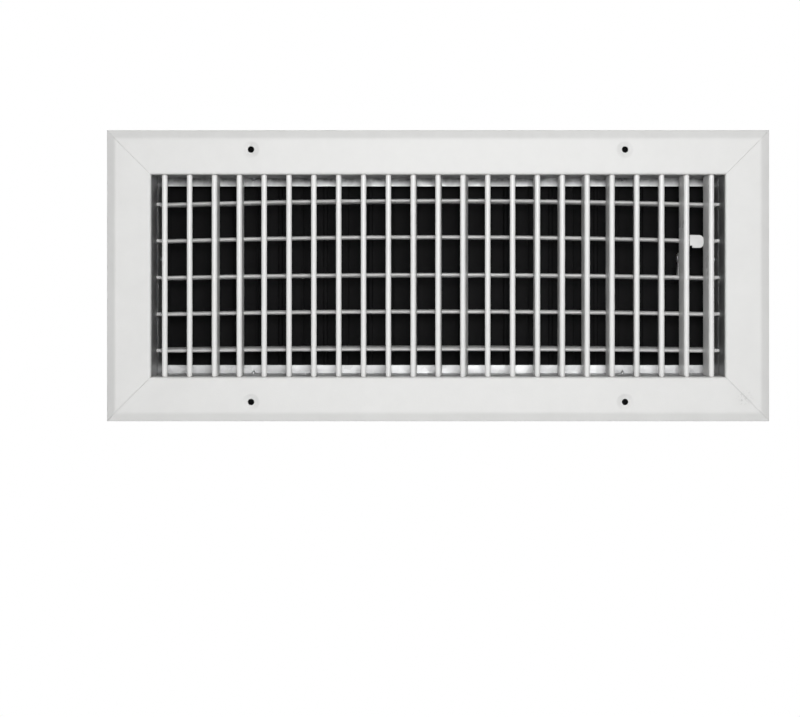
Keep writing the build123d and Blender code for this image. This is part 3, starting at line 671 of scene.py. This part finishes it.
# Screws of the damper laps: a hex head on its washer, and a coarse sheet-metal thread to a point
screwSizes = {
    "washer": 3.2, "washerThick": 0.5, "washerRound": 0.3,
    "hexRadius": 2.6, "hexFoot": 0.2, "headHigh": 1.4, "hexRound": 0.22, "rim": 0.55, "dish": 0.3,
    "core": 1.15, "long": 5.0, "point": 1.5, "tip": 0.12, "overlap": 0.1,
    "tooth": 0.45, "toothSunk": 0.05, "pitch": 1.1, "turns": 3, "threadStart": -3.3,
}
washer = startRound(32, screwSizes["washer"], 0, screwSizes["washerThick"])
roundTop(washer, screwSizes["washerRound"], 3)
hexHead = startRound(6, screwSizes["hexRadius"], screwSizes["hexFoot"], screwSizes["headHigh"])
roundTop(hexHead, screwSizes["hexRound"], 2)
sinkTop(hexHead, screwSizes["rim"], screwSizes["dish"])
shank = startRound(20, screwSizes["core"], screwSizes["point"] - screwSizes["long"], screwSizes["overlap"])
editFaces(shank, lambda face: face.normal.z < -flatEnough)
bpy.ops.mesh.extrude_region_move(TRANSFORM_OT_translate={"value": (0, 0, -screwSizes["point"] * mm)})
bpy.ops.transform.resize(
    value=(screwSizes["tip"], screwSizes["tip"], 1), center_override=(0, 0, -screwSizes["long"] * mm)
)
bpy.ops.object.mode_set(mode="OBJECT")
toothOut = screwSizes["core"] + screwSizes["tooth"] / 3 - screwSizes["toothSunk"]
bpy.ops.object.select_all(action="DESELECT")
bpy.ops.mesh.primitive_circle_add(
    vertices=3, radius=screwSizes["tooth"] * 2 / 3 * mm, rotation=(math.pi / 2, math.pi / 2, 0),
    location=(toothOut * mm, 0, screwSizes["threadStart"] * mm),
)
thread = bpy.context.object
applyPlace(thread)
applyModifier(
    thread, "SCREW", screw_offset=screwSizes["pitch"] * mm, iterations=screwSizes["turns"], steps=20,
    render_steps=20, axis="Z",
)
bpy.ops.object.mode_set(mode="EDIT")
bpy.ops.mesh.select_all(action="SELECT")
bpy.ops.mesh.fill_holes(sides=4)
bpy.ops.object.mode_set(mode="OBJECT")
screwModel = joinAs("screwModel", [washer, hexHead, shank, thread])
laps = {"depth": 41.5, "across": (-130, 0, 130), "up": 71.5, "sideAcross": 197.825, "sideUp": 11.5}
screwSeats = [
    ((across, laps["depth"], side * laps["up"]), (0, 0, side))
    for side in (-1, 1) for across in laps["across"]
]
screwSeats += [
    ((side * laps["sideAcross"], laps["depth"], laps["sideUp"]), (side, 0, 0)) for side in (-1, 1)
]
settle(copyTo("hexLapScrews", screwModel, screwSeats), screwZinc, "frame", "damper_screws")
print("lap screws made")

# Blind rivets of the damper frame: a domed flange with its broken mandrel, and the bulb behind
rivetSizes = {
    "flange": 2.4, "head": 0.6, "flangeRound": 0.45, "well": 0.35, "mandrel": 0.75, "mandrelRound": 0.12,
    "overlap": 0.1, "mandrelTop": 0.4, "shank": 1.4, "grip": 2.0, "bulb": 2.15, "bulbRound": 0.26,
}
flange = startRound(28, rivetSizes["flange"], 0, rivetSizes["head"])
roundTop(flange, rivetSizes["flangeRound"], 5)
flangeRim = rivetSizes["flange"] - rivetSizes["flangeRound"] - rivetSizes["mandrel"]
sinkTop(flange, flangeRim, rivetSizes["well"])
mandrelRadius = rivetSizes["mandrel"] - rivetSizes["mandrelRound"]
mandrel = startRound(16, mandrelRadius, rivetSizes["overlap"], rivetSizes["mandrelTop"])
roundTop(mandrel, rivetSizes["mandrelRound"], 2)
body = startRound(24, rivetSizes["shank"], -rivetSizes["grip"], rivetSizes["overlap"])
bulb = startRound(28, rivetSizes["bulb"], -rivetSizes["grip"] - rivetSizes["head"], -rivetSizes["grip"])
editFaces(bulb, lambda face: abs(face.normal.z) > flatEnough)
bpy.ops.mesh.bevel(offset=rivetSizes["bulbRound"] * mm, segments=4, affect="EDGES")
bpy.ops.object.mode_set(mode="OBJECT")
rivetModel = joinAs("rivetModel", [flange, mandrel, body, bulb])
cornerRivets = {"across": 191.825, "depths": (70, 79), "up": 71.5}
hangerRivets = {"across": 168.055, "depths": (55, 61), "up": 71.5}
rivetSeats = [
    ((across * cornerRivets["across"], depth, side * cornerRivets["up"]), (0, 0, side))
    for across in (-1, 1) for side in (-1, 1) for depth in cornerRivets["depths"]
]
rivetSeats += [
    ((hangerRivets["across"], depth, hangerRivets["up"]), (0, 0, 1)) for depth in hangerRivets["depths"]
]
settle(
    copyTo("blindRivets", rivetModel, rivetSeats), rivetMetal, "frame", "damper_rivets"
)

# Link rivets: solid, with a dome above each ear and below the bar
linkSizes = {
    "head": 2.1, "dome": 0.7, "domeRound": 0.62, "shank": 1.2, "overlap": 0.05, "earTop": -66.82,
    "barFoot": -69.18, "count": 12, "pitch": 32.4, "offset": 11.62, "depth": 59.675,
}
upperDome = startRound(28, linkSizes["head"], linkSizes["earTop"], linkSizes["earTop"] + linkSizes["dome"])
roundTop(upperDome, linkSizes["domeRound"], 6)
lowerDome = startRound(28, linkSizes["head"], 0, linkSizes["dome"])
roundTop(lowerDome, linkSizes["domeRound"], 6)
lowerDome.rotation_euler = (math.pi, 0, 0)
lowerDome.location = (0, 0, linkSizes["barFoot"] * mm)
applyPlace(lowerDome)
stemFoot = linkSizes["barFoot"] - linkSizes["overlap"]
stemTop = linkSizes["earTop"] + linkSizes["overlap"]
stem = startRound(20, linkSizes["shank"], stemFoot, stemTop)
linkModel = joinAs("linkModel", [upperDome, lowerDome, stem])
linkMiddle = (linkSizes["count"] - 1) / 2
linkSeats = [
    ((linkSizes["pitch"] * (number - linkMiddle) + linkSizes["offset"], linkSizes["depth"], 0), (0, 0, 1))
    for number in range(linkSizes["count"])
]
linkRivets = copyTo("domedLinkRivets", linkModel, linkSeats)
settle(linkRivets, rivetMetal, "link_bar", "link_rivets")
print("rivets made")

# Lever: the same form with its sheared edges broken
leverEdges = {"round": 0.22, "steps": 3, "sharpAngle": 40, "weld": 0.002, "flatAngle": 1}
lever = nodes["damper_lever"].copy()
lever.data = nodes["damper_lever"].data.copy()
bpy.context.collection.objects.link(lever)
lever.parent = None
lever.name = "leverWithTab"
pickOnly(lever)
bpy.ops.object.mode_set(mode="EDIT")
bpy.ops.mesh.select_all(action="SELECT")
bpy.ops.mesh.remove_doubles(threshold=leverEdges["weld"] * mm)
bpy.ops.mesh.dissolve_limited(angle_limit=math.radians(leverEdges["flatAngle"]))
bpy.ops.object.mode_set(mode="OBJECT")
applyModifier(
    lever, "BEVEL", width=leverEdges["round"] * mm, segments=leverEdges["steps"], limit_method="ANGLE",
    angle_limit=math.radians(leverEdges["sharpAngle"]),
)
faceOutward(lever)
settle(lever, leverPaint, "damper_lever", "damper_lever")
print("lever made")

# Rear blades: a slim airfoil with a narrow nose, bowed, and each left turned a little
rearBlade = {
    "halfThick": 1.45, "sink": 0.35, "nose": 4.2, "tail": 13.9, "lead": 1.875, "half": 193.2, "steps": 24,
    "depth": 25.875, "pin": 1.25, "pinRoot": 3.0, "pinRound": 0.3, "pinEnd": 197.925,
    "heights": (49.6, 24.2, -1.2, -26.6, -52.0),
    "bows": (3.0, 3.0, 2.2, 1.9, 1.3),
    "turns": (-3.0, -0.5, -4.0, 1.0, 4.5),
}
offMiddle = 1e-6  # the outline's corners on the axis itself stay where they are


def airfoilBlade(number, height, bow, turn):
    bpy.ops.object.select_all(action="DESELECT")
    bpy.ops.mesh.primitive_circle_add(
        vertices=36, radius=rearBlade["halfThick"] * mm, fill_type="NGON", rotation=(0, math.pi / 2, 0),
    )
    blade = bpy.context.object
    applyPlace(blade)
    bpy.ops.object.mode_set(mode="EDIT")
    bpy.ops.mesh.select_mode(type="VERT")
    for reach, side in ((rearBlade["nose"], -1), (rearBlade["tail"], 1)):
        bpy.ops.mesh.select_all(action="DESELECT")
        bpy.ops.object.mode_set(mode="OBJECT")
        for corner in blade.data.vertices:
            corner.select = side * corner.co.y > offMiddle
        bpy.ops.object.mode_set(mode="EDIT")
        bpy.ops.transform.resize(value=(1, reach / rearBlade["halfThick"], 1), center_override=(0, 0, 0))
    bpy.ops.mesh.select_all(action="SELECT")
    noseShift = rearBlade["nose"] - rearBlade["lead"]
    bpy.ops.transform.translate(value=(-rearBlade["half"] * mm, noseShift * mm, -rearBlade["sink"] * mm))
    steps = rearBlade["steps"]
    rise = [bow * (1 - (2 * step / steps - 1) ** 2) for step in range(steps + 1)]
    for low, high in zip(rise, rise[1:]):
        bpy.ops.mesh.extrude_region_move(
            TRANSFORM_OT_translate={"value": (2 * rearBlade["half"] / steps * mm, 0, (high - low) * mm)}
        )
    bpy.ops.object.mode_set(mode="OBJECT")
    blade.rotation_euler = (math.radians(turn), 0, 0)
    applyPlace(blade)
    pinStart = rearBlade["half"] - rearBlade["pinRoot"]
    pins = []
    for side in (-1, 1):
        pin = startRound(20, rearBlade["pin"], pinStart, rearBlade["pinEnd"])
        roundTop(pin, rearBlade["pinRound"], 3)
        pin.rotation_euler = (0, side * math.pi / 2, 0)
        applyPlace(pin)
        pins.append(pin)
    blade = joinAs("rearBlade" + str(number) + "Airfoil", [blade, *pins])
    blade.location = (0, rearBlade["depth"] * mm, height * mm)
    applyPlace(blade)
    faceOutward(blade)
    name = "rear_blade_" + str(number)
    settle(blade, rearBladePaintShaded, name, name)


for number, blade in enumerate(zip(rearBlade["heights"], rearBlade["bows"], rearBlade["turns"]), start=1):
    airfoilBlade(number, *blade)
print("rear blades made")

# Foam strips: stuck to the back of the face between the corner keys, over the screw holes, where their
# near-black shows through the holes as painted shade
foamSizes = {
    "neckUp": 68.9, "neckAcross": 195.225, "near": 9.6, "far": 20.2, "front": 1.95, "back": 6.35,
    "longReach": 185.2, "shortReach": 58.9, "round": 0.5, "voxel": 1.1,
    "ripple": 0.3, "sunk": 0.9, "cell": 4,
}
foamMiddle = (foamSizes["near"] + foamSizes["far"]) / 2
foamWide = foamSizes["far"] - foamSizes["near"]
foamDeep = foamSizes["back"] - foamSizes["front"]
foamUp = foamSizes["neckUp"] + foamMiddle
foamAcross = foamSizes["neckAcross"] + foamMiddle
foamCells = bpy.data.textures.new("foamCells", "CLOUDS")
foamCells.noise_scale = foamSizes["cell"] * mm
strips = {
    "gasketTop": ((0, foamUp), (2 * foamSizes["longReach"], foamWide)),
    "gasketBottom": ((0, -foamUp), (2 * foamSizes["longReach"], foamWide)),
    "gasketLeft": ((-foamAcross, 0), (foamWide, 2 * foamSizes["shortReach"])),
    "gasketRight": ((foamAcross, 0), (foamWide, 2 * foamSizes["shortReach"])),
}
for name, ((across, up), (wide, tall)) in strips.items():
    bpy.ops.object.select_all(action="DESELECT")
    bpy.ops.mesh.primitive_cube_add(
        size=1, location=(across * mm, (foamSizes["front"] + foamDeep / 2) * mm, up * mm),
        scale=(wide * mm, foamDeep * mm, tall * mm),
    )
    strip = bpy.context.object
    strip.name = name
    applyPlace(strip)
    applyModifier(strip, "BEVEL", width=foamSizes["round"] * mm, segments=2)
    applyModifier(strip, "REMESH", mode="VOXEL", voxel_size=foamSizes["voxel"] * mm)
    applyModifier(
        strip, "DISPLACE", texture=foamCells, texture_coords="GLOBAL", strength=foamSizes["ripple"] * mm,
        mid_level=foamSizes["sunk"],
    )
    faceOutward(strip)
    settle(strip, holeShadeFoam, "frame", smooth=60)
print("gasket strips made")


# Stage: a pale floor well below the register, and a plain white surround

def showWhite(tree, lit, kind, output):
    rays = addNode(tree, "ShaderNodeLightPath")  # seen, mirrored or looked through, it is white
    seen = mathNode(tree, "MAXIMUM", rays.outputs["Is Camera Ray"], rays.outputs["Is Transmission Ray"])
    seen = mathNode(tree, "MAXIMUM", seen, rays.outputs["Is Glossy Ray"])
    white = addNode(tree, kind, {"Color": (1, 1, 1, 1), "Strength": 1.0})
    mix = addNode(tree, "ShaderNodeMixShader")
    tree.links.new(seen, mix.inputs[0])
    tree.links.new(lit.outputs[0], mix.inputs[1])
    tree.links.new(white.outputs[0], mix.inputs[2])
    tree.links.new(mix.outputs[0], tree.nodes[output].inputs["Surface"])


stage = {"drop": 0.4, "wide": 12, "colour": (0.8, 0.8, 0.8, 1), "rough": 0.9}
bpy.ops.object.select_all(action="DESELECT")
bpy.ops.mesh.primitive_plane_add(size=stage["wide"], location=(0, 0, cadLow.z - stage["drop"]))
floor = bpy.context.object
floor.name = "studioFloor"
floorMaterial, floorTree, floorShader = startMaterial(
    "studioFloor", Roughness=stage["rough"], Base_Color=stage["colour"]
)
showWhite(floorTree, floorShader, "ShaderNodeEmission", "Material Output")
floor.data.materials.append(floorMaterial)

lighting = {
    "surroundStrength": 0.12,
    "frontLamp": {"place": (0.05, -1.1, 0.13), "size": 0.25, "watts": 6.95},
    "topLamp": {"place": (0.1, -1.05, 0.85), "size": 0.35, "watts": 2.5},
    "leftLamp": {"place": (-1.5, -1.0, 0.6), "size": 0.8, "watts": 1.6},
    "rightLamp": {"place": (1.5, -1.0, 0.6), "size": 0.8, "watts": 1.6},
    "backLamp": {"place": (-0.6, 1.6, 0.7), "size": 1.0, "watts": 18.0},
}
world = bpy.data.worlds.new("whiteRoom")
bpy.context.scene.world = world
world.use_nodes = True
roomGlow = world.node_tree.nodes["Background"]
roomGlow.inputs["Color"].default_value = (1, 1, 1, 1)
roomGlow.inputs["Strength"].default_value = lighting["surroundStrength"]
showWhite(world.node_tree, roomGlow, "ShaderNodeBackground", "World Output")


def addLamp(name, place, size, watts):
    bpy.ops.object.light_add(type="AREA", location=place)
    lamp = bpy.context.object
    lamp.name = name
    lamp.data.shape = "DISK"
    lamp.data.size = size
    lamp.data.energy = watts
    lamp.visible_camera = False
    lamp.rotation_euler = (-Vector(place)).to_track_quat("-Z", "Y").to_euler()


for lampName in ("frontLamp", "topLamp", "leftLamp", "rightLamp", "backLamp"):
    addLamp(lampName, **lighting[lampName])
print("stage and lamps set")

# Camera: square to the face, aimed off the picture's centre as the photo is framed
shot = {
    "distance": 1.07, "right": 0.0003, "pixelsPerMm": 1.4731, "aimX": 438.5, "aimY": 275.75,
    "wide": 800, "tall": 717, "sensor": 36, "near": 0.05,
}
bpy.ops.object.camera_add(location=(shot["right"], -shot["distance"], 0), rotation=(math.pi / 2, 0, 0))
camera = bpy.context.object
camera.name = "photoCamera"
camera.data.sensor_width = shot["sensor"]
camera.data.lens = shot["pixelsPerMm"] / mm * shot["distance"] * shot["sensor"] / shot["wide"]
camera.data.shift_x = (shot["wide"] / 2 - shot["aimX"]) / shot["wide"]
camera.data.shift_y = (shot["aimY"] - shot["tall"] / 2) / shot["wide"]
camera.data.clip_start = shot["near"]
bpy.context.scene.camera = camera
bpy.context.scene.view_settings.view_transform = "Standard"
print("camera set")
